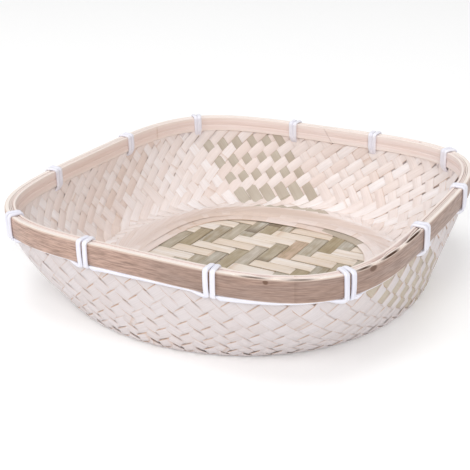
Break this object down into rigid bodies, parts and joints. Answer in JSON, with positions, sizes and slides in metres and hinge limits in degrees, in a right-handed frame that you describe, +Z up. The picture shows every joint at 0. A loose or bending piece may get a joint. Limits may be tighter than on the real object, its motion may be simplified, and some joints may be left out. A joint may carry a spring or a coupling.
{
  "type": "woven bamboo basket",
  "caption": "Shallow woven bamboo basket with a square rim, a round base, a plaited lining with an open middle over a floor mat, and hoops lashed with white cord.",
  "frame": {"origin": "middle of the resting face, under the middle of the rim", "axes": "+Z up out of the bowl; X and Y run along the straight sides of the rim"},
  "size_m": [0.3067, 0.3069, 0.0771],
  "materials": {
    "plaited_bamboo": "planed bamboo splints in a diagonal plain weave, unvarnished",
    "lining_bamboo": "planed bamboo splints in a diagonal plain weave that turns into a twill lower down, slightly lustrous",
    "bamboo_skin": "tan outer skin of bamboo, satin",
    "pale_splint": "planed inner bamboo, matte",
    "cream_splint": "wide planed bamboo splint, matte",
    "olive_splint": "wide bamboo splint with green skin, matte",
    "white_cord": "smooth white plastic cord"
  },
  "bodies": {
    "root": {"outer_basket": "plaited_bamboo", "lining": "lining_bamboo", "outer_hoop": "bamboo_skin", "inner_hoop": "pale_splint", "rim_splint_outer": "pale_splint", "rim_splint_inner": "pale_splint", "lashing_cord": "white_cord", "mat_splint_x_01": "cream_splint", "mat_splint_y_01": "olive_splint", "mat_splint_x_02": "cream_splint", "mat_splint_y_02": "olive_splint", "mat_splint_x_03": "cream_splint", "mat_splint_y_03": "olive_splint", "mat_splint_x_04": "cream_splint", "mat_splint_y_04": "olive_splint", "mat_splint_x_05": "cream_splint", "mat_splint_y_05": "olive_splint", "mat_splint_x_06": "cream_splint", "mat_splint_y_06": "olive_splint", "mat_splint_x_07": "cream_splint", "mat_splint_y_07": "olive_splint", "mat_splint_x_08": "cream_splint", "mat_splint_y_08": "olive_splint", "mat_splint_x_09": "cream_splint", "mat_splint_y_09": "olive_splint", "mat_splint_x_10": "cream_splint", "mat_splint_y_10": "olive_splint", "mat_splint_x_11": "cream_splint", "mat_splint_y_11": "olive_splint", "mat_splint_x_12": "cream_splint", "mat_splint_y_12": "olive_splint", "mat_splint_x_13": "cream_splint", "mat_splint_y_13": "olive_splint", "mat_splint_x_14": "cream_splint", "mat_splint_y_14": "olive_splint", "mat_splint_x_15": "cream_splint", "mat_splint_y_15": "olive_splint", "mat_splint_x_16": "cream_splint", "mat_splint_y_16": "olive_splint"}
  },
  "joints": []
}
